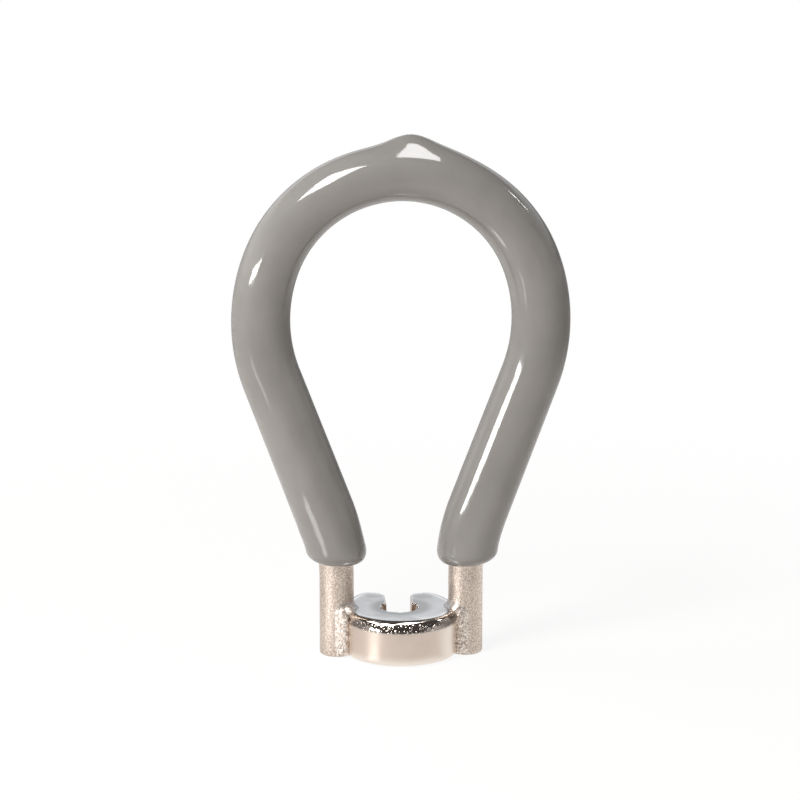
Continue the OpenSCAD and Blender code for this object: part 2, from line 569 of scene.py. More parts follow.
@dataclass(frozen=True)
class SatinNickel:
    """Satin nickel plate: smooth on the side, cool on the faced top and pitted along the rim."""

    name: str
    plate: Colour = (0.66, 0.555, 0.48)
    stain: Colour = (0.56, 0.46, 0.39)
    stain_cloud: Point2 = (0.4, 0.75)
    stain_share: float = 0.3
    # Paler colour of a painted reflection: the floor mirrored at the foot, and a sheen towards the right
    # end.
    painted_reflection_plate: Colour = (0.86, 0.77, 0.69)
    painted_foot_reflection: Point2 = (0.3, 1.8)
    painted_end_reflection: Point2 = (4.2, 6.6)
    rim_plate: Colour = (0.6, 0.53, 0.475)
    # Darker colour that the rim's pitted band takes towards the legs.
    rim_end_dark: Colour = (0.24, 0.2, 0.175)
    rim_end_dark_from: Point2 = (4.6, 6.2)
    rim_end_dark_share: float = 0.85
    # Cool grey of the faced top, which is partly a painted reflection of the pale room, and a paler painted
    # reflection towards the front.
    faced: Colour = (0.755, 0.761, 0.77)
    front_painted_reflection: Colour = (0.9, 0.905, 0.915)
    front_reflection_band: Point2 = (-5.8, -4.2)
    # Darker grey of worn patches, also used as the painted shade of the dished ring round the socket.
    worn: Colour = (0.38, 0.385, 0.39)
    painted_socket_shade: Point2 = (3.3, 5.0)
    painted_socket_shade_share: float = 0.75
    worn_cloud: Point2 = (0.4, 0.7)
    worn_cloud_share: float = 0.4
    clouds_per_metre: float = 260.0
    roughness_cloud: Point2 = (0.3, 0.7)
    roughness: Point2 = (0.3, 0.36)
    rim_roughness: float = 0.1
    pits_per_metre: float = 3300.0
    pit_edge: Point2 = (0.57, 0.72)
    cloud_height: float = 0.02
    bump: float = 0.9
    bump_depth: float = 0.05

    def side_colour(self, graph: NodeGraph, place: Socket, cloud: Socket) -> Socket:
        """Adds the colour of the side, with a painted reflection that makes it brighter at the foot and at
        the right end.

        Args:
            graph: The material's graph.
            place: Coordinates.
            cloud: Slow unevenness.

        Returns:
            The colour's socket.
        """
        axes = graph.split(place)
        stained = graph.remap(cloud, self.stain_cloud, (0.0, self.stain_share))
        plate = graph.mix(stained, (*self.plate, 1), (*self.stain, 1))
        # Painted reflection: the side is paler near the foot and towards the right end.
        foot = graph.remap(axes["Z"], metres(self.painted_foot_reflection), FALLING)
        end = graph.remap(axes["X"], metres(self.painted_end_reflection), RISING)
        return graph.mix(graph.math("MAXIMUM", foot, end), plate, (*self.painted_reflection_plate, 1))

    def rim_colour(self, graph: NodeGraph, place: Socket, pitted: Socket) -> Socket:
        """Adds the colour of the rim, whose pitted band is darker towards the legs.

        Args:
            graph: The material's graph.
            place: Coordinates.
            pitted: Mask of the pitted band.

        Returns:
            The colour's socket.
        """
        across = graph.math("ABSOLUTE", graph.split(place)["X"])
        ends = graph.remap(across, metres(self.rim_end_dark_from), (0.0, self.rim_end_dark_share))
        darkened_ends = graph.math("MULTIPLY", ends, pitted)
        return graph.mix(darkened_ends, (*self.rim_plate, 1), (*self.rim_end_dark, 1))

    def top_colour(self, graph: NodeGraph, place: Socket, cloud: Socket) -> Socket:
        """Adds the colour of the faced top: a painted reflection makes it paler at the front, a painted
        shade darkens a ring round the socket, and there are worn patches.

        Args:
            graph: The material's graph.
            place: Coordinates.
            cloud: Slow unevenness.

        Returns:
            The colour's socket.
        """
        flat = graph.add("ShaderNodeVectorMath", {0: place, 1: (1, 1, 0)}, operation="MULTIPLY").outputs[0]
        # Painted shade of the dished lead-in round the socket.
        ring = graph.remap(graph.length(flat), metres(self.painted_socket_shade), (self.painted_socket_shade_share, 0.0))
        patches = graph.remap(cloud, self.worn_cloud, (0.0, self.worn_cloud_share))
        # Painted reflection: the top is paler towards the front.
        front = graph.remap(graph.split(place)["Y"], metres(self.front_reflection_band), FALLING)
        reflected_top = graph.mix(front, (*self.faced, 1), (*self.front_painted_reflection, 1))
        return graph.mix(graph.math("MAXIMUM", ring, patches), reflected_top, (*self.worn, 1))

    def material(self) -> bpy.types.Material:
        """Builds the material.

        Returns:
            The new material.
        """
        material, graph, shader = new_material(self.name)
        place = graph.object_place()
        cloud = graph.group(CloudGroup.tree(), {"Vector": place, "Scale": self.clouds_per_metre})["Cloud"]
        top = graph.mask(NippleHead.TOP_MASK)
        rim = graph.mask(NippleHead.RIM_MASK)
        pitted = graph.mask(NippleHead.PIT_MASK)
        wall = graph.mix(rim, self.side_colour(graph, place, cloud), self.rim_colour(graph, place, pitted))
        smooth = graph.remap(cloud, self.roughness_cloud, self.roughness)
        dents = graph.remap(graph.noise(place, self.pits_per_metre, 0.0), self.pit_edge, RISING)
        pits = graph.math("MULTIPLY", dents, pitted)
        height = graph.math("MULTIPLY_ADD", cloud, self.cloud_height, pits)
        graph.feed(shader, {
            "Base Color": graph.mix(top, wall, self.top_colour(graph, place, cloud)),
            "Roughness": graph.mix(rim, smooth, grey(self.rim_roughness)),
            "Normal": graph.bump(self.bump, self.bump_depth, height),
            "Metallic": 1.0,
        })
        return material


@dataclass(frozen=True)
class DippedVinyl:
    """Glossy grey vinyl with the slow waves and small specks of a dipped coat."""

    name: str
    body: Colour = (0.243, 0.232, 0.217)
    deep: Colour = (0.205, 0.195, 0.181)
    deep_cloud: Point2 = (0.35, 0.7)
    deep_share: float = 0.5
    speck_share: float = 0.12
    clouds_per_metre: float = 160.0
    gloss_cloud: Point2 = (0.3, 0.7)
    gloss: Point2 = (0.07, 0.12)
    shine: float = 0.6
    wave: float = 0.12
    wave_depth: float = 0.25

    def material(self) -> bpy.types.Material:
        """Builds the material.

        Returns:
            The new material.
        """
        material, graph, shader = new_material(self.name)
        inputs = {"Vector": graph.object_place(), "Scale": self.clouds_per_metre}
        cloud = graph.group(CloudGroup.tree(), inputs)
        share = graph.remap(cloud["Cloud"], self.deep_cloud, (0.0, self.deep_share))
        tone = graph.mix(share, (*self.body, 1), (*self.deep, 1))
        specks = graph.math("MULTIPLY", cloud["Speck"], self.speck_share)
        graph.feed(shader, {
            "Base Color": graph.mix(specks, tone, (*self.deep, 1)),
            "Roughness": graph.remap(cloud["Cloud"], self.gloss_cloud, self.gloss),
            "Normal": graph.bump(self.wave, self.wave_depth, cloud["Cloud"]),
            "Specular IOR Level": self.shine,
        })
        return material


@dataclass(frozen=True)
class LoopPath:
    """Centreline of the bent rod, measured from the middle of the crown along either side."""

    leg_spacing: float = 17.9
    leg_len: float = 11.0
    leg_bend_r: float = 27.0
    flare: float = math.radians(20.6)
    side_bend_r: float = 23.3
    crown_bend_r: float = 18.9
    crown_half: float = math.radians(69.0)

    @property
    def bend_at(self) -> Point2:
        """Centre of the bend above the leg."""
        return self.leg_spacing / 2 + self.leg_bend_r, self.leg_len

    @property
    def arm_foot(self) -> Point2:
        """Lower end of the straight arm."""
        x, z = self.bend_at
        return x - self.leg_bend_r * math.cos(self.flare), z + self.leg_bend_r * math.sin(self.flare)

    @property
    def arm_len(self) -> float:
        """Works out the straight arm.

        Returns:
            Its length.
        """
        side_x = (self.crown_bend_r - self.side_bend_r) * math.sin(self.crown_half)
        reach = side_x + self.side_bend_r * math.cos(self.flare) - self.arm_foot[0]
        return reach / math.sin(self.flare)

    @property
    def side_at(self) -> Point2:
        """Works out the side's bend.

        Returns:
            Its centre.
        """
        x, z = self.arm_foot
        x += self.arm_len * math.sin(self.flare) - self.side_bend_r * math.cos(self.flare)
        z += self.arm_len * math.cos(self.flare) + self.side_bend_r * math.sin(self.flare)
        return x, z

    @property
    def crown_height(self) -> float:
        """Height of the crown's centre above the base."""
        return self.side_at[1] + (self.side_bend_r - self.crown_bend_r) * math.cos(self.crown_half)

    @property
    def lengths(self) -> tuple[float, float, float, float, float]:
        """Measures the parts of one side.

        Returns:
            Lengths of the crown's half, side, arm, bend and leg.
        """
        crown = self.crown_bend_r * self.crown_half
        side = self.side_bend_r * (math.pi / 2 - self.crown_half + self.flare)
        return crown, side, self.arm_len, self.leg_bend_r * self.flare, self.leg_len

    @property
    def half_length(self) -> float:
        """Length from the middle of the crown to the foot of a leg."""
        return sum(self.lengths)

    def point(self, along: float) -> Point2:
        """Finds a place on the centreline.

        Args:
            along: Distance from the middle of the crown, positive to the right.

        Returns:
            Its X and Z.
        """
        sign, rest = (1 if along >= 0 else -1), abs(along)
        crown, side, arm, bend, _ = self.lengths
        if rest <= crown:
            turn = rest / self.crown_bend_r
            x = self.crown_bend_r * math.sin(turn)
            return sign * x, self.crown_height + self.crown_bend_r * math.cos(turn)
        rest -= crown
        if rest <= side:
            turn = self.crown_half + rest / self.side_bend_r
            x, z = self.side_at
            return sign * (x + self.side_bend_r * math.sin(turn)), z + self.side_bend_r * math.cos(turn)
        rest -= side
        if rest <= arm:
            x, z = self.arm_foot
            up = arm - rest
            return sign * (x + up * math.sin(self.flare)), z + up * math.cos(self.flare)
        rest -= arm
        if rest <= bend:
            x, z = self.bend_at
            turn = self.flare - rest / self.leg_bend_r
            return sign * (x - self.leg_bend_r * math.cos(turn)), z + self.leg_bend_r * math.sin(turn)
        return sign * self.leg_spacing / 2, self.leg_len - (rest - bend)


class SweepGroup(SharedGroup):
    """Geometry Nodes group that sweeps a round section along a line of points."""

    NAME = "round_sweep"
    RING = "ring_radius"
    BED = "bed_radius"

    @classmethod
    def build(cls) -> bpy.types.NodeTree:
        """Builds the group.

        Returns:
            The new tree.
        """
        graph = new_tree(
            cls.NAME, "GeometryNodeTree",
            {"Line": "NodeSocketGeometry", "Radius": "NodeSocketFloat", "Sides": "NodeSocketInt",
             "Caps": "NodeSocketBool"},
            {"Mesh": "NodeSocketGeometry"},
        )
        source = graph.add("NodeGroupInput").outputs
        curve = graph.add("GeometryNodeMeshToCurve", {"Mesh": source["Line"]}).outputs[0]
        ring = graph.add("GeometryNodeCurvePrimitiveCircle", {
            "Resolution": source["Sides"], "Radius": 1.0,
        }, mode="RADIUS").outputs[0]
        swept = graph.add("GeometryNodeCurveToMesh", {
            "Curve": curve, "Profile Curve": ring, "Scale": source["Radius"], "Fill Caps": source["Caps"],
        }).outputs[0]
        graph.add("NodeGroupOutput", {"Mesh": swept})
        return graph.tree

    @classmethod
    def sweep(cls, graph: NodeGraph, source: Sockets, label: str, caps: bool) -> Socket:
        """Places the group in the tree of a piece.

        Args:
            graph: The piece's tree.
            source: The tree's input sockets, with the line and the count of sides.
            label: Name of the radius that the line carries.
            caps: Whether the ends are closed.

        Returns:
            The swept mesh's socket.
        """
        line = {"Line": source["Line"], "Radius": graph.named(label)}
        return graph.group(cls.tree(), {**line, "Sides": source["Sides"], "Caps": caps})[0]

    @classmethod
    def line(cls, name: str, path: LoopPath, rings: list[Ring]) -> bpy.types.Mesh:
        """Makes the line of points that a sweep follows.

        Args:
            name: Name of the mesh.
            path: Centreline.
            rings: Rings from one end of the sweep to the other.

        Returns:
            A mesh of edges that carries both radii in metres.
        """
        spots = [path.point(along) for along, _, _ in rings]
        mesh = bpy.data.meshes.new(name)
        edges = [(i, i + 1) for i in range(len(spots) - 1)]
        mesh.from_pydata([metres((x, 0, z)) for x, z in spots], edges, [])
        _, outer, bed = zip(*rings)
        carry(mesh, {cls.RING: metres(outer), cls.BED: metres(bed)})
        return mesh


@dataclass
class HandleRod:
    """Round rod bent into the loop, with its two bare legs."""

    finish: BlastedNickel
    path: LoopPath = field(default_factory=LoopPath)
    rod_r: float = 2.38
    foot_round: float = 0.4
    foot_steps: int = 4
    step: float = 0.6
    sides: int = 72

    def rings(self) -> list[Ring]:
        """Lists the rings from one foot over the crown to the other.

        Returns:
            The rings, whose two radii are the same.
        """
        end = self.path.half_length
        foot = [(end - self.foot_round * (1 - math.cos(t)), self.rod_r - self.foot_round * (1 - math.sin(t)))
                for t in quarter_turn(self.foot_steps)]
        count = int((end - self.foot_round) / self.step)
        inner = [(end - self.foot_round) * (1 - i / count) for i in range(1, count + 1)]
        half = foot + [(along, self.rod_r) for along in inner]
        whole = half + [(-along, r) for along, r in reversed(half[:-1])]
        return [(along, r, r) for along, r in whole]

    def build(self) -> bpy.types.Object:
        """Sweeps the rod.

        Returns:
            The finished rod.
        """
        graph = new_tree(
            "bent_rod", "GeometryNodeTree",
            {"Line": "NodeSocketGeometry", "Sides": "NodeSocketInt", "Finish": "NodeSocketMaterial"},
            {"Mesh": "NodeSocketGeometry"},
        )
        source = graph.add("NodeGroupInput").outputs
        graph.end_mesh(SweepGroup.sweep(graph, source, SweepGroup.RING, True), source["Finish"])
        line = SweepGroup.line("rod_line", self.path, self.rings())
        return grow("rod", line, graph.tree, {"Sides": self.sides, "Finish": self.finish.material()})

    def dress(self) -> bpy.types.Object:
        """Builds the rod and settles it on the frame."""
        return settle(self.build(), "handle_rod")


@dataclass
class VinylGrip:
    """Dipped vinyl skin along the loop, with rounded lips and a drip at the crown."""

    # Shares of the way from the bed to the rounding, for the rings of a lip's flat face.
    FACE_SHARES = (0.0, 0.5)

    finish: DippedVinyl
    path: LoopPath = field(default_factory=LoopPath)
    bed_r: float = 2.4
    crown_r: float = 3.84
    lip_r: float = 4.27
    lip_round: float = 1.75
    lip_steps: int = 9
    lip_lean: float = 0.3
    lip_level: float = 0.12
    lean_reach: float = 5.0
    lean_from: float = 0.85
    right_drop: float = 0.3
    dip_line: float = 2.18
    face_slope: float = 0.06
    weld: float = 0.001
    step: float = 0.6
    sides: int = 88
    drip: dict[str, float] = field(default_factory=lambda: {
        "Drip Rise": 1.3, "Drip Place": 1.2, "Drip Width": 3.3,
        "Trail Rise": 0.38, "Trail Place": 5.0, "Trail Width": 4.5,
    })
    drip_front: Point2 = (50.0, 112.0)
    drip_back: Point2 = (120.0, 165.0)

    def radius(self, along: float) -> float:
        """Outer radius at a distance from the middle of the crown."""
        return self.crown_r + (self.lip_r - self.crown_r) * abs(along) / self.end

    @property
    def end(self) -> float:
        """Distance from the middle of the crown to the lip."""
        return self.path.half_length - self.path.leg_len - self.dip_line

    def half(self, end: float) -> list[Point2]:
        """Lists the rings from one lip to the middle of the crown.

        Args:
            end: Distance from the middle of the crown to that lip.

        Returns:
            Distance along the path and outer radius of each ring.
        """
        flat_r = self.lip_r - self.lip_round
        across = flat_r - self.bed_r
        face = [(end - self.face_slope * t, self.bed_r + across * t) for t in self.FACE_SHARES]
        start = end - self.face_slope
        lip = [(start - self.lip_round * (1 - math.cos(t)), flat_r + self.lip_round * math.sin(t))
               for t in quarter_turn(self.lip_steps)]
        start -= self.lip_round
        count = int(start / self.step)
        skin = [start * (1 - i / count) for i in range(1, count + 1)]
        return face + lip + [(along, self.radius(along)) for along in skin]

    def rings(self) -> list[Ring]:
        """Lists the rings from the right lip over the crown to the left one.

        Returns:
            The rings.
        """
        right, left = self.half(self.end + self.right_drop), self.half(self.end)
        whole = right + [(-along, r) for along, r in reversed(left[:-1])]
        return [(along, r, self.bed_r) for along, r in whole]

    def build(self) -> bpy.types.Object:
        """Sweeps the skin, raises the drip and adds the bed round the rod.

        Returns:
            The finished grip.
        """
        number = "NodeSocketFloat"
        graph = new_tree(
            "dipped_skin", "GeometryNodeTree",
            {"Line": "NodeSocketGeometry", "Sides": "NodeSocketInt", "Finish": "NodeSocketMaterial",
             "Crown Height": number, "Crown Bend": number, "Skin": number, "Lean": number,
             **{label: number for label in self.drip}},
            {"Mesh": "NodeSocketGeometry"},
        )
        source = graph.add("NodeGroupInput").outputs
        skin = SweepGroup.sweep(graph, source, SweepGroup.RING, False)
        bed = SweepGroup.sweep(graph, source, SweepGroup.BED, False)
        moves = {0: self.drip_offset(graph, source), 1: self.lean_offset(graph, source)}
        moved = graph.add("ShaderNodeVectorMath", moves, operation="ADD").outputs[0]
        outer = graph.add("GeometryNodeSetPosition", {"Geometry": skin, "Offset": moved}).outputs[0]
        joined = graph.add("GeometryNodeJoinGeometry", {"Geometry": outer})
        graph.feed(joined, {"Geometry": bed})
        merged = graph.add("GeometryNodeMergeByDistance", {
            "Geometry": joined.outputs[0], "Distance": self.weld * MM,
        }).outputs[0]
        closed = graph.add("GeometryNodeSetPosition", {
            "Geometry": merged, "Offset": self.level_offset(graph),
        }).outputs[0]
        graph.end_mesh(closed, source["Finish"])
        sizes = {
            **self.drip, "Skin": self.crown_r, "Lean": self.lip_lean,
            "Crown Height": self.path.crown_height, "Crown Bend": self.path.crown_bend_r,
        }
        values = {label: size * MM for label, size in sizes.items()}
        values.update({"Sides": self.sides, "Finish": self.finish.material()})
        line = SweepGroup.line("grip_line", self.path, self.rings())
        return grow("grip", line, graph.tree, values)

    def lean_offset(self, graph: NodeGraph, source: Sockets) -> Socket:
        """Adds the nodes that lean the left skin inwards just above its lip.

        Args:
            graph: The skin's tree.
            source: The tree's input sockets.

        Returns:
            The offset's socket.
        """
        axes = graph.position()
        skin_from = metres((self.bed_r, self.lean_from * self.lip_r))
        skin = graph.remap(graph.named(SweepGroup.RING), skin_from, RISING)
        near = self.near_lip(graph, axes["Z"])
        inwards = graph.math("MULTIPLY", graph.math("LESS_THAN", axes["X"], 0.0), source["Lean"])
        shift = graph.math("MULTIPLY", inwards, graph.math("MULTIPLY", skin, near))
        return graph.add("ShaderNodeCombineXYZ", {"X": shift}).outputs[0]

    def near_lip(self, graph: NodeGraph, height: Socket) -> Socket:
        """Adds a weight that is 1 at the lips and fades out above them."""
        lip = self.path.leg_len + self.dip_line
        return graph.remap(height, metres((lip, lip + self.lean_reach)), FALLING)

    def level_offset(self, graph: NodeGraph) -> Socket:
        """Adds the nodes that level the lips, as the dip's surface was level.

        Args:
            graph: The skin's tree.

        Returns:
            The offset's socket.
        """
        axes = graph.position()
        across = graph.math("ABSOLUTE", axes["X"])
        outwards = graph.math("SUBTRACT", across, self.path.leg_spacing / 2 * MM)
        sloped = graph.math("MULTIPLY", outwards, self.lip_level)
        lift = graph.math("MULTIPLY", sloped, self.near_lip(graph, axes["Z"]))
        return graph.add("ShaderNodeCombineXYZ", {"Z": lift}).outputs[0]

    @staticmethod
    def bell(graph: NodeGraph, along: Socket, place: Socket, width: Socket) -> Socket:
        """Adds a bell curve along the crown.

        Args:
            graph: The skin's tree.
            along: Distance along the crown.
            place: Middle of the bell.
            width: Its half width.

        Returns:
            The bell's socket, 1 at its middle.
        """
        share = graph.math("DIVIDE", graph.math("SUBTRACT", along, place), width)
        square = graph.math("MULTIPLY", share, share)
        return graph.math("EXPONENT", graph.math("MULTIPLY", square, -1.0))

    def drip_offset(self, graph: NodeGraph, source: Sockets) -> Socket:
        """Adds the nodes that raise the drip: a drop that leans to the back, and a trail beside it.

        Args:
            graph: The skin's tree.
            source: The tree's input sockets.

        Returns:
            The offset's socket.
        """
        axes = graph.position()
        height = graph.math("SUBTRACT", axes["Z"], source["Crown Height"])
        squares = [graph.math("MULTIPLY", part, part) for part in (axes["X"], height)]
        reach = graph.math("SQRT", graph.math("ADD", *squares))
        outside = graph.math("ADD", source["Crown Bend"], source["Skin"])
        along = graph.math("MULTIPLY", graph.math("ARCTAN2", axes["X"], height), outside)
        rises = []
        for label in ("Drip", "Trail"):
            bell = self.bell(graph, along, source[label + " Place"], source[label + " Width"])
            rises.append(graph.math("MULTIPLY", bell, source[label + " Rise"]))
        above = graph.math("SUBTRACT", reach, source["Crown Bend"])
        forward = graph.math("MULTIPLY", axes["Y"], -1.0)
        facing = graph.math("DEGREES", graph.math("ARCTAN2", above, forward))
        front = graph.remap(facing, self.drip_front, RISING)
        back = graph.remap(facing, self.drip_back, FALLING)
        raised = graph.math("MULTIPLY", graph.math("ADD", *rises), graph.math("MULTIPLY", front, back))
        per_reach = graph.math("DIVIDE", raised, reach)
        return graph.add("ShaderNodeCombineXYZ", {
            "X": graph.math("MULTIPLY", axes["X"], per_reach),
            "Z": graph.math("MULTIPLY", height, per_reach),
        }).outputs[0]

    def dress(self) -> bpy.types.Object:
        """Builds the grip and settles it on the frame."""
        return settle(self.build(), "vinyl_grip")


@dataclass(frozen=True)
class Edge:
    """Rounding of a top edge: how far it reaches inwards and drops, and how pitted it is."""

    # Shares of the reach and the drop that a fully tapered edge keeps.
    REACH_KEPT = 0.45
    DROP_KEPT = 0.65

    reach: float
    drop: float
    pits: float = 0.0

    def tapered(self, share: float) -> "Edge":
        """Makes a smaller edge.

        Args:
            share: Share of the way from the smallest edge to this one.

        Returns:
            The new edge.
        """
        reach = self.REACH_KEPT + (1 - self.REACH_KEPT) * clamp(share)
        drop = self.DROP_KEPT + (1 - self.DROP_KEPT) * clamp(share)
        return Edge(self.reach * reach, self.drop * drop, self.pits)

    @classmethod
    def average(cls, edges: list["Edge"]) -> "Edge":
        """Returns the mean of some edges."""
        columns = zip(*((edge.reach, edge.drop, edge.pits) for edge in edges))
        return cls(*(sum(column) / len(edges) for column in columns))


@dataclass
class NippleHead:
    """Slotted round head with a splined socket, seated between the legs."""

    TOP_MASK = "faced_top"
    RIM_MASK = "bright_rim"
    PIT_MASK = "pitted_rim"
    # Arcs of a rounded top edge: slope in degrees at the end, radius and steps.
    ROUNDING = ((10.0, 4.0, 4), (30.0, 0.7, 5), (60.0, 0.88, 9), (76.0, 3.0, 10), (90.0, 2.8, 7))
    # Slopes in degrees where a mask is 0 and where it is 1.
    TOP_FADE = (28.0, 14.0)
    RIM_START = (0.0, 6.0)
    RIM_END = (88.0, 80.0)
    PIT_START = (58.0, 64.0)
    PIT_END = (86.0, 78.0)
    LEAST_STEPS = 4

    finish: SatinNickel
    head_r: float = 7.94
    base: float = 0.2
    top: float = 6.5
    foot_round: float = 0.6
    leg_x: float = 8.95
    seat_r: float = 2.4
    socket_r: float = 2.45
    spline_count: int = 9
    spline_r: float = 0.35
    mouth_w: float = 3.5
    tip_r: float = 1.5
    back_from: float = 2.5
    back_stretch: dict[Side, float] = field(default_factory=lambda: {Side.LEFT: 0.125, Side.RIGHT: 0.01})
    mouth_shift: float = 0.2
    shift_r: float = 5.0
    shift_from: Point2 = (2.0, 4.0)
    shoulder: float = 0.25
    shoulder_at: Point2 = (5.8, 2.2)
    taper: float = 9.0
    front_edge: Edge = Edge(1.71, 1.93, 1.0)
    back_edge: Edge = Edge(1.2, 0.4, 0.25)
    tip_edge: Edge = Edge(1.0, 0.45, 0.1)
    seat_edge: Edge = Edge(0.05, 0.05)
    bore_edge: Edge = Edge(0.3, 0.3)
    socket_edge: Edge = Edge(0.35, 0.3)
    throat_lead: float = 0.02
    eased_points: int = 5
    sharpest: float = 0.5
    spacing: float = 0.11
    foot_steps: int = 12
    wall_levels: tuple[float, ...] = (0.12, 0.3, 0.55, 0.8)

    def arc(self, at: Point2, r: float, start: float, end: float, edge: Edge) -> list[tuple]:
        """Lists the points of one arc of the plan.

        Args:
            at: Centre.
            r: Radius.
            start: First angle in degrees.
            end: Last angle in degrees, which is left out.
            edge: Its top edge.

        Returns:
            X, Y and edge of each point.
        """
        count = max(self.LEAST_STEPS, round(abs(math.radians(end - start)) * r / self.spacing))
        turns = [math.radians(start + (end - start) * i / count) for i in range(count)]
        return [(at[0] + r * math.cos(t), at[1] + r * math.sin(t), edge) for t in turns]

    def socket_plan(self, throat: float) -> list[tuple]:
        """Lists the right half of the splined socket, from the mouth round to the front.

        Args:
            throat: Angle in degrees where the mouth meets the socket.

        Returns:
            X, Y and edge of each point.
        """
        origin = (0.0, 0.0)
        groove = math.degrees(2 * math.asin(self.spline_r / 2 / self.socket_r))
        wrap = 90 + groove / 2
        turn = throat
        pitch = 360 / self.spline_count
        centres = [90 - pitch * (i + 0.5) for i in range(self.spline_count)]
        points = []
        for centre in [c for c in centres if -90 <= c < throat - groove]:
            points += self.arc(origin, self.socket_r, turn, centre + groove, self.socket_edge)
            angle = math.radians(centre)
            middle = (self.socket_r * math.cos(angle), self.socket_r * math.sin(angle))
            last = centre if centre == -90 else centre - wrap
            points += self.arc(middle, self.spline_r, centre + wrap, last, self.socket_edge)
            turn = centre - groove
        return points

    def half_plan(self) -> list[tuple]:
        """Lists the right half of the plan, from the front round the tip and the socket.

        Returns:
            X, Y and edge of each point.
        """
        cos_seat = (self.leg_x**2 + self.head_r**2 - self.seat_r**2) / (2 * self.leg_x * self.head_r)
        seat = math.degrees(math.acos(cos_seat))
        corner = (self.head_r * cos_seat - self.leg_x, self.head_r * math.sin(math.radians(seat)))
        bay = math.degrees(math.atan2(corner[1], corner[0]))
        tip_x = self.mouth_w / 2 + self.tip_r
        tip_y = math.sqrt((self.head_r - self.tip_r) ** 2 - tip_x**2)
        tip = math.degrees(math.atan2(tip_y, tip_x))
        throat_y = math.sqrt(self.socket_r**2 - (self.mouth_w / 2) ** 2)
        throat = math.degrees(math.atan2(throat_y, self.mouth_w / 2))
        origin = (0.0, 0.0)
        front = self.arc(origin, self.head_r, -90, -seat, self.front_edge)
        points = [(x, y, self.front_edge.tapered((-seat - math.degrees(math.atan2(y, x))) / self.taper))
                  for x, y, _ in front]
        points += self.arc((self.leg_x, 0), self.seat_r, 360 - bay, bay, self.seat_edge)
        points += self.arc(origin, self.head_r, seat, tip, self.back_edge)
        points += self.arc((tip_x, tip_y), self.tip_r, tip, 180, self.tip_edge)
        count = round((tip_y - throat_y) / self.spacing)
        mouth = [tip_y + (throat_y - tip_y) * i / count for i in range(count)]
        points += [(self.mouth_w / 2, y, self.bore_edge) for y in mouth]
        return points + self.socket_plan(throat)

    def drawn(self, x: float, y: float) -> Point2:
        """Moves a point of the true plan to where the made head has its socket, mouth and tips.

        Args:
            x: Place across the head.
            y: Place towards the mouth.

        Returns:
            Its new X and Y.
        """
        behind = max(0.0, y - self.back_from)
        at, half = self.shoulder_at
        square = self.shoulder * max(0.0, 1 - ((abs(x) - at) / half) ** 2)
        stretch = square + self.back_stretch[Side.RIGHT if x > 0 else Side.LEFT]
        inside = max(clamp(self.shift_r - math.hypot(x, y)), ramp(y, self.shift_from))
        return x - self.mouth_shift * inside, y + stretch * behind

    @property
    def throat(self) -> Point2:
        """Corner where the mouth's top edge meets the socket's round lead-in."""
        x = self.mouth_w / 2 + self.bore_edge.reach
        return x, math.sqrt((self.socket_r + self.spline_r) ** 2 - x**2)

    def lead_in(self, spot: Vector) -> Vector:
        """Finds where the socket's round lead-in meets the top face.

        Args:
            spot: Point of the socket's wall.

        Returns:
            The point of the top face above it.
        """
        x, y = self.throat
        rim = spot.normalized() * (self.socket_r + self.spline_r)
        if rim.y > y:
            rim = Vector((math.copysign(x, spot.x), y + self.throat_lead * (spot.y - y)))
        return rim

    def plan(self) -> list[tuple]:
        """Lists the whole plan, with the edges eased along it.

        Returns:
            X, Y, inward X and Y per unit of inset, and edge of each point.
        """
        half = self.half_plan()
        deepest = (0.0, -self.socket_r - self.spline_r, self.socket_edge)
        loop = half + [deepest] + [(-x, y, edge) for x, y, edge in reversed(half[1:])]
        count = len(loop)
        eased = []
        for i, (x, y, edge) in enumerate(loop):
            near = [loop[(i + k) % count][2] for k in range(-self.eased_points, self.eased_points + 1)]
            if self.seat_edge not in near and self.socket_edge not in near:
                edge = Edge.average(near)
            before, after = Vector(loop[i - 1][:2]), Vector(loop[(i + 1) % count][:2])
            spot = Vector((x, y))
            first, second = (spot - before).normalized(), (after - spot).normalized()
            inward = Vector((-first.y - second.y, first.x + second.x))
            inward /= max(1 + first.dot(second), self.sharpest)
            if edge == self.socket_edge or (edge == self.bore_edge and y < self.throat[1]):
                inward = (self.lead_in(spot) - spot) / edge.reach
            eased.append((*self.drawn(x, y), inward.x, inward.y, edge))
        return eased

    @classmethod
    def rounding(cls) -> list[Point3]:
        """Lists the steps of a rounded top edge, from the flat face to the wall.

        Returns:
            Share of the reach, share of the drop and slope in degrees at each step.
        """
        forward, fall, slope = 0.0, 0.0, 0.0
        spots = [(forward, fall, slope)]
        for end, r, steps in cls.ROUNDING:
            part = (end - slope) / steps
            for _ in range(steps):
                before, after = math.radians(slope), math.radians(slope + part)
                forward += r * (math.sin(after) - math.sin(before))
                fall += r * (math.cos(before) - math.cos(after))
                slope += part
                spots.append((forward, fall, slope))
        return [(x / forward, z / fall, angle) for x, z, angle in spots]

    def levels(self, edge: Edge) -> list[tuple[float, float, float, float, float]]:
        """Lists the rings of the wall at one point of the plan, from the top face down.

        Args:
            edge: The top edge there.

        Returns:
            Inset, height, and top, rim and pit masks of each ring.
        """
        rings = []
        for forward, fall, slope in self.rounding():
            flat = ramp(slope, self.TOP_FADE)
            rim = ramp(slope, self.RIM_START) * ramp(slope, self.RIM_END)
            pits = ramp(slope, self.PIT_START) * ramp(slope, self.PIT_END) * edge.pits
            rings.append((edge.reach * (1 - forward), self.top - edge.drop * fall, flat, rim, pits))
        foot = min(self.foot_round, edge.reach)
        high, low = self.top - edge.drop, self.base + foot
        wall = [(0.0, high + (low - high) * share) for share in self.wall_levels]
        wall += [(foot * (1 - math.cos(t)), self.base + foot * (1 - math.sin(t)))
                 for t in quarter_turn(self.foot_steps)]
        return rings + [(inset, z, 0.0, 0.0, 0.0) for inset, z in wall]

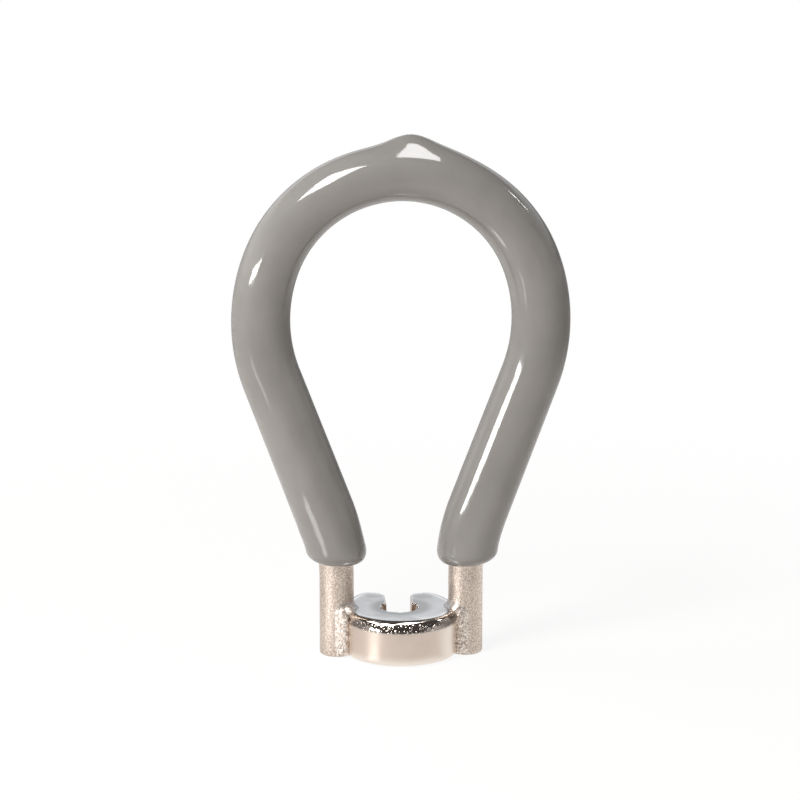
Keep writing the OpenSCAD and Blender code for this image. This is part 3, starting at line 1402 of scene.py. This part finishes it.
    def build(self) -> bpy.types.Object:
        """Raises the wall from the plan and closes it with two faces.

        Returns:
            The finished head.
        """
        plan = self.plan()
        columns = [self.levels(edge) for *_, edge in plan]
        rows, count = len(columns[0]), len(plan)
        points, tops, rims, pits = [], [], [], []
        for row in range(rows):
            for (x, y, in_x, in_y, _), column in zip(plan, columns):
                inset, z, top, rim, pit = column[row]
                points.append(metres((x + in_x * inset, y + in_y * inset, z)))
                tops.append(top)
                rims.append(rim)
                pits.append(pit)
        faces = [(row * count + i, (row + 1) * count + i, (row + 1) * count + (i + 1) % count,
                  row * count + (i + 1) % count) for row in range(rows - 1) for i in range(count)]
        caps = [list(range(count)), list(range((rows - 1) * count, rows * count))[::-1]]
        mesh = bpy.data.meshes.new("head")
        mesh.from_pydata(points, [], faces + caps)
        mesh.polygons.foreach_set("use_smooth", [True] * len(faces) + [False] * len(caps))
        carry(mesh, {self.TOP_MASK: tops, self.RIM_MASK: rims, self.PIT_MASK: pits})
        mesh.materials.append(self.finish.material())
        return link_object("head", mesh)

    def dress(self) -> bpy.types.Object:
        """Builds the head and settles it on the frame."""
        return settle(self.build(), "nipple_head")


@dataclass
class LegBraze:
    """Braze between one leg and the head: a lumpy bead down each crevice and a smooth collar on top.

    Turns are degrees round the leg from the direction of the head's axis, positive to the front.
    """

    SAND_MASK = "sandy_bead"
    COLLAR_MASK = "smooth_collar"

    side: Side
    finish: bpy.types.Material
    bead: float
    foot_share: float
    saddle: float
    bead_rise: float = 1.4
    leg_x: float = 8.95
    rod_r: float = 2.39
    head_top: float = 6.5
    sunk: float = 0.04
    inside: float = 0.3
    bead_turn: float = 62.0
    bead_spread: float = 22.0
    bead_fade: float = 1.6
    bead_full: Point2 = (-2.5, -1.0)
    foot_fade: Point2 = (-0.15, 0.35)
    saddle_turn: float = 52.0
    saddle_spread: float = 16.0
    saddle_lift: float = 0.1
    saddle_height: float = 0.65
    saddle_behind: float = 0.35
    collar: float = 0.8
    collar_height: float = 1.7
    collar_below: float = 0.1
    collar_ends: Point2 = (74.0, 44.0)
    foot: float = 0.15
    lump: float = 0.13
    lump_size: float = 0.36
    lump_place: float = 3.7
    turn_per_mm: float = 24.0
    sand_gain: float = 2.0
    collar_gain: float = 4.0
    half_wrap: float = 112.0
    wrap_fade: float = 22.0
    turn_steps: int = 120
    rise_steps: int = 110

    def bead_share(self, turn: float, z: float) -> float:
        """Share of the bead's full thickness at a place on the leg.

        Args:
            turn: Degrees round the leg.
            z: Height above the floor.

        Returns:
            The share, 1 along the middle of the bead.
        """
        off = (abs(turn) - self.bead_turn) / self.bead_spread
        up = z - self.head_top
        top = clamp((self.bead_rise - up) / self.bead_fade)
        low = max(self.foot_share, ramp(up, self.bead_full))
        end = ramp(z - self.foot, self.foot_fade)
        return math.exp(-off * off) * top * top * (3 - 2 * top) * low * end

    def saddle_share(self, turn: float, z: float) -> float:
        """Share of the saddle's full thickness, where the bead bridges to the head's rim.

        Args:
            turn: Degrees round the leg.
            z: Height above the floor.

        Returns:
            The share, 1 at the middle of the front saddle.
        """
        off = (abs(turn) - self.saddle_turn) / self.saddle_spread
        rise = (z - self.head_top - self.saddle_lift) / self.saddle_height
        full = 1.0 if turn > 0 else self.saddle_behind
        return full * math.exp(-off * off - rise * rise)

    def collar_share(self, turn: float, z: float) -> float:
        """Share of the collar's full width at a place on the leg.

        Args:
            turn: Degrees round the leg.
            z: Height above the floor.

        Returns:
            The share, 1 where the collar meets the head's top.
        """
        if z <= self.head_top - self.collar_below:
            return 0.0
        drop = clamp((self.head_top + self.collar_height - z) / self.collar_height)
        return (1 - math.sqrt(1 - drop * drop)) * ramp(abs(turn), self.collar_ends)

    def thickness(self, turn: float, z: float) -> float:
        """Thickness of the braze on the leg.

        Args:
            turn: Degrees round the leg.
            z: Height above the floor.

        Returns:
            Radial thickness beyond the rod, which is below nothing where there is no braze.
        """
        fade = clamp((self.half_wrap - abs(turn)) / self.wrap_fade)
        full = max(self.bead * self.bead_share(turn, z), self.saddle * self.saddle_share(turn, z),
                   self.collar * self.collar_share(turn, z))
        return full * fade - self.sunk

    def sleeve(self) -> tuple[list[Point3], list[float], list[float]]:
        """Lists the points of a sleeve round the leg, row by row, first outside and then inside.

        Returns:
            The points in metres, and the sand mask and the collar mask of each.
        """
        sign = self.side.value
        top = self.head_top + self.collar_height
        points, sand, collar = [], [], []
        for outer in (True, False):
            for row in range(self.rise_steps + 1):
                z = self.foot + (top - self.foot) * row / self.rise_steps
                for column in range(self.turn_steps + 1):
                    turn = self.half_wrap * (2 * column / self.turn_steps - 1)
                    share = max(self.bead_share(turn, z), self.saddle_share(turn, z))
                    r = self.rod_r - self.inside
                    if outer:
                        spot = Vector((turn / self.turn_per_mm, z, self.lump_place + sign)) / self.lump_size
                        r = self.rod_r + self.thickness(turn, z) + share * self.lump * noise.noise(spot)
                    sandy = min(1.0, self.sand_gain * share)
                    smooth = min(1.0, self.collar_gain * self.collar_share(turn, z))
                    sand.append(sandy)
                    collar.append(smooth * (1 - sandy))
                    angle = math.radians(180 + turn)
                    x = sign * (self.leg_x + r * math.cos(angle))
                    points.append(metres((x, r * math.sin(angle), z)))
        return points, sand, collar

    def sleeve_faces(self) -> list[tuple[int, ...]]:
        """Lists the faces that join the sleeve's points into a closed skin.

        Returns:
            The numbers of each face's corners.
        """
        faces = []
        width, shell = self.turn_steps + 1, (self.turn_steps + 1) * (self.rise_steps + 1)
        for row in range(self.rise_steps):
            for column in range(self.turn_steps):
                a = row * width + column
                quad = (a, a + 1, a + width + 1, a + width)
                faces += [quad, tuple(shell + i for i in reversed(quad))]
        last_row, last_column = self.rise_steps * width, self.turn_steps
        for i in range(self.turn_steps):
            faces += [(i + 1, i, shell + i, shell + i + 1),
                      (last_row + i, last_row + i + 1, shell + last_row + i + 1, shell + last_row + i)]
        for row in range(self.rise_steps):
            a, b = row * width, (row + 1) * width
            faces += [(a, b, shell + b, shell + a),
                      (b + last_column, a + last_column, shell + a + last_column, shell + b + last_column)]
        return faces

    def build(self) -> bpy.types.Object:
        """Makes the sleeve and gives it its masks and its finish.

        Returns:
            The finished braze.
        """
        points, sand, collar = self.sleeve()
        faces = self.sleeve_faces()
        name = self.side.name.lower() + "_bead"
        mesh = bpy.data.meshes.new(name)
        mesh.from_pydata(points, [], faces)
        mesh.polygons.foreach_set("use_smooth", [True] * len(faces))
        carry(mesh, {self.SAND_MASK: sand, self.COLLAR_MASK: collar})
        mesh.materials.append(self.finish)
        face_outwards(mesh)
        return link_object(name, mesh)

    def dress(self) -> bpy.types.Object:
        """Builds the braze and settles it on the frame."""
        return settle(self.build(), self.side.name.lower() + "_braze")


def direction(azimuth: float, elevation: float) -> Vector:
    """Unit vector towards a place in the studio.

    Args:
        azimuth: Degrees from the camera's side, positive to the right.
        elevation: Degrees above the floor.

    Returns:
        The vector.
    """
    a, e = math.radians(azimuth), math.radians(elevation)
    return Vector((math.sin(a) * math.cos(e), -math.cos(a) * math.cos(e), math.sin(e)))


@dataclass(frozen=True)
class Lamp:
    """Soft box placed by its direction from a target, in degrees, millimetres and watts.

    A shift moves it sideways. One that is meant for some pieces lights only those.
    """

    name: str
    azimuth: float
    elevation: float
    distance: float
    width: float
    height: float
    power: float
    seen_by: SeenBy = SeenBy.ALL
    target: Point3 = MIDDLE
    shift: float = 0.0
    pieces: tuple[str, ...] = ()

    def build(self) -> None:
        """Makes the lamp, places it and links it to the pieces that it is meant for."""
        data = bpy.data.lights.new(self.name, "AREA")
        data.shape = "RECTANGLE"
        data.size, data.size_y = self.width * MM, self.height * MM
        data.energy = self.power
        lamp = link_object(self.name, data)
        lamp.visible_camera = False
        lamp.visible_diffuse, lamp.visible_glossy = self.seen_by.value
        self.place(lamp)
        if self.pieces:
            lit = bpy.data.collections.new(self.name + "_lights")
            for piece in self.pieces:
                lit.objects.link(bpy.data.objects[piece])
            lamp.light_linking.receiver_collection = lit

    def place(self, lamp: bpy.types.Object) -> None:
        """Hangs the lamp so that it faces its target.

        Args:
            lamp: The lamp's object.
        """
        away = direction(self.azimuth, self.elevation)
        lamp.location = (Vector(self.target) + away * self.distance) * MM
        lamp.location.x += self.shift * MM
        lamp.rotation_euler = away.to_track_quat("Z", "Y").to_euler()


@dataclass(frozen=True)
class Card(Lamp):
    """Card near the object, which shows only as a highlight on the pieces that it is meant for."""

    seen_by: SeenBy = SeenBy.GLOSSY


@dataclass(frozen=True)
class FloorCard(Card):
    """Card that lies on the floor and faces up, with its length turned from the radius."""

    turn: float = 0.0
    lying_height: float = 0.05

    def place(self, lamp: bpy.types.Object) -> None:
        """Lays the card on the floor.

        Args:
            lamp: The card's object.
        """
        super().place(lamp)
        lamp.location.z = self.lying_height * MM
        lamp.rotation_euler = (math.pi, 0.0, math.radians(self.azimuth + self.turn))


@dataclass(frozen=True)
class Room:
    """Room round the object: white to the camera, dim at the front and pale at the back and sides.

    Each range is of one part of the unit vector towards the room's wall: X, Y or Z.
    """

    dark: Colour = (0.07, 0.068, 0.066)
    pale: Colour = (0.97, 0.98, 1.0)
    back: Point2 = (-0.35, 0.75)
    back_top: Point2 = (0.42, 0.52)
    back_foot: Point2 = (0.06, 0.2)
    back_foot_share: float = 0.2
    left: Point2 = (-0.92, -0.6)
    left_share: float = 0.6
    right: Point2 = (0.6, 0.92)
    right_share: float = 0.55
    side_top: Point2 = (0.1, 0.36)
    fill_left: Colour = (0.46, 0.46, 0.47)
    fill_right: Colour = (0.06, 0.06, 0.06)

    def mirrored(self, graph: NodeGraph, axes: Sockets) -> Socket:
        """Adds the colour that glossy surfaces mirror.

        Args:
            graph: The world's graph.
            axes: X, Y and Z of the direction.

        Returns:
            The colour's socket.
        """
        behind = graph.remap(axes["Y"], self.back, RISING)
        high = graph.remap(axes["Z"], self.back_top, FALLING)
        low = graph.remap(axes["Z"], self.back_foot, (self.back_foot_share, 1.0))
        back = graph.math("MULTIPLY", behind, graph.math("MULTIPLY", high, low))
        left = graph.remap(axes["X"], self.left, (self.left_share, 0.0))
        right = graph.remap(axes["X"], self.right, (0.0, self.right_share))
        level = graph.remap(axes["Z"], self.side_top, FALLING)
        sides = graph.math("MULTIPLY", graph.math("ADD", left, right), level)
        return graph.mix(graph.math("MAXIMUM", back, sides), (*self.dark, 1), (*self.pale, 1))

    def build(self) -> None:
        """Makes the world and its nodes."""
        world = bpy.data.worlds.new("studio")
        bpy.context.scene.world = world
        graph = bare_graph(world)
        axes = graph.split(graph.add("ShaderNodeTexCoord").outputs["Generated"])
        from_left = graph.remap(axes["X"], (-1.0, 1.0), FALLING, smooth=False)
        fill = graph.mix(from_left, (*self.fill_right, 1), (*self.fill_left, 1))
        lit = graph.mix(graph.seen(Ray.GLOSSY), fill, self.mirrored(graph, axes))
        colour = graph.mix(graph.seen(Ray.CAMERA, Ray.THROUGH), lit, grey(1.0))
        sky = graph.add("ShaderNodeBackground", {"Color": colour, "Strength": 1.0}).outputs[0]
        graph.add("ShaderNodeOutputWorld", {"Surface": sky})


@dataclass
class Studio:
    """White floor, soft boxes, cards and a long lens, at the angle of the photograph."""

    aim: Point3 = MIDDLE
    azimuth: float = -3.2
    elevation: float = 14.0
    distance: float = 600.0
    lens: float = 196.6
    sensor: float = 36.0
    clip: Point2 = (10.0, 50000.0)
    floor_size: float = 6000.0
    floor_drop: float = 0.01
    floor_matt: Colour = (0.9, 0.85, 0.8)
    glow_near: float = 0.9
    glow_reach: Point2 = (45.0, 160.0)
    mirror_reach: Point2 = (50.0, 180.0)
    mirror_far: float = 0.35
    room: Room = Room()
    # Each has its name, azimuth, elevation, distance, width, height and power first.
    lamps: tuple[Lamp, ...] = (
        Lamp("top_left_box", -41, 49, 520, 200, 200, 2.9),
        Lamp("left_fill", -105, 15, 520, 300, 300, 1.35, SeenBy.MATT),
        Lamp("right_fill", 105, 10, 520, 300, 300, 0.25, SeenBy.MATT),
        Lamp("left_strip", -58, 6, 520, 180, 45, 0.8, SeenBy.GLOSSY),
        Lamp("right_strip", 103, 34, 520, 15, 95, 0.12, SeenBy.GLOSSY),
        Lamp("crown_box", 0, 85, 520, 160, 150, 0.85, SeenBy.GLOSSY, shift=94),
        Card("rim_card", 63, 84, 30, 22, 11, 0.0044, target=(1.0, -8.5, 6.0), pieces=ON_HEAD),
        Card("rim_side_card", -86, 51, 20, 8, 6, 0.001, target=(-4.4, -6.6, 5.8), pieces=ON_HEAD),
        FloorCard("low_card", -45.9, 0, 15.8, 3, 11, 0.000115, turn=-14.1, pieces=ON_HEAD),
        FloorCard("low_far_card", -50.8, 0, 26.9, 7, 14, 0.00036, turn=-9.2, pieces=ON_HEAD),
        FloorCard("far_card", -52.7, 0, 110.6, 15, 50, 0.0071, turn=-30.8, pieces=ON_GRIP),
        FloorCard("arm_card", -49.1, 0, 47.4, 13, 15, 0.0027, turn=49.1, pieces=ON_GRIP),
        FloorCard("leg_card", -39, 0, 32, 34, 24, 0.0009, turn=39, pieces=ON_BARE_METAL),
        FloorCard("cross_card", -58.9, 0, 34.9, 24, 12, 0.0018, turn=82.9, pieces=ON_BARE_METAL),
        FloorCard("right_card", 108, 0, 47, 40, 30, 0.0018, turn=-108, pieces=ON_RIGHT_LEG),
    )

    def build(self) -> None:
        """Sets up the camera, the lamps, the floor and the room."""
        self.camera()
        for lamp in self.lamps:
            lamp.build()
        self.floor()
        self.room.build()
        bpy.context.scene.view_settings.view_transform = "Standard"

    def camera(self) -> None:
        """Places the camera and makes it the scene's own."""
        data = bpy.data.cameras.new("camera")
        data.lens, data.sensor_width = self.lens, self.sensor
        data.clip_start, data.clip_end = metres(self.clip)
        camera = link_object("camera", data)
        away = direction(self.azimuth, self.elevation)
        camera.location = Vector(self.aim) * MM + away * self.distance * MM
        camera.rotation_euler = away.to_track_quat("Z", "Y").to_euler()
        bpy.context.scene.camera = camera

    def floor_material(self) -> bpy.types.Material:
        """Builds the floor's material: white to the camera and in mirrors, matt to all other light.

        Returns:
            The new material.
        """
        material = bpy.data.materials.new("floor_white")
        graph = bare_graph(material)
        matt = graph.add("ShaderNodeBsdfDiffuse", {"Color": (*self.floor_matt, 1)}).outputs[0]
        away = graph.length(graph.object_place())
        near = graph.remap(away, metres(self.glow_reach), (self.glow_near, 1.0))
        share = graph.math("MULTIPLY", graph.seen(Ray.CAMERA, Ray.GLOSSY, Ray.THROUGH), near)
        far = graph.remap(away, metres(self.mirror_reach), (0.0, 1.0 - self.mirror_far))
        dim = graph.math("MULTIPLY", graph.seen(Ray.GLOSSY), far)
        glow = graph.add("ShaderNodeEmission", {
            "Color": grey(1.0), "Strength": graph.math("SUBTRACT", 1.0, dim),
        }).outputs[0]
        mixed = graph.add("ShaderNodeMixShader", {0: share, 1: matt, 2: glow}).outputs[0]
        graph.add("ShaderNodeOutputMaterial", {"Surface": mixed})
        return material

    def floor(self) -> None:
        """Lays the white floor, which keeps a soft shadow."""
        half, low = self.floor_size / 2 * MM, -self.floor_drop * MM
        mesh = bpy.data.meshes.new("floor")
        corners = [(-half, -half, low), (half, -half, low), (half, half, low), (-half, half, low)]
        mesh.from_pydata(corners, [], [(0, 1, 2, 3)])
        mesh.materials.append(self.floor_material())
        link_object("floor", mesh)


def main() -> None:
    """Builds the wrench, piece by piece, and the studio round it."""
    logging.basicConfig(level=logging.INFO, format="%(name)s: %(message)s")
    braze = BlastedNickel(
        "braze_plate", plate=(0.94, 0.85, 0.77), grains_per_metre=3000.0, bump=0.65, bump_depth=0.05,
        roughness=(0.32, 0.48), mask=LegBraze.SAND_MASK, collar_mask=LegBraze.COLLAR_MASK,
    ).material()
    sub_assemblies = (
        HandleRod(BlastedNickel("blasted_plate")),
        NippleHead(SatinNickel("satin_plate")),
        LegBraze(Side.LEFT, braze, bead=0.75, foot_share=1.0, saddle=1.25),
        LegBraze(Side.RIGHT, braze, bead=0.5, foot_share=0.7, saddle=0.75, bead_rise=0.9),
        VinylGrip(DippedVinyl("dipped_grey")),
    )
    for sub_assembly in sub_assemblies:
        piece = sub_assembly.dress()
        LOG.info("%s: %d vertices", piece.name, len(piece.data.vertices))
    Studio().build()


if __name__ == "__main__":
    main()
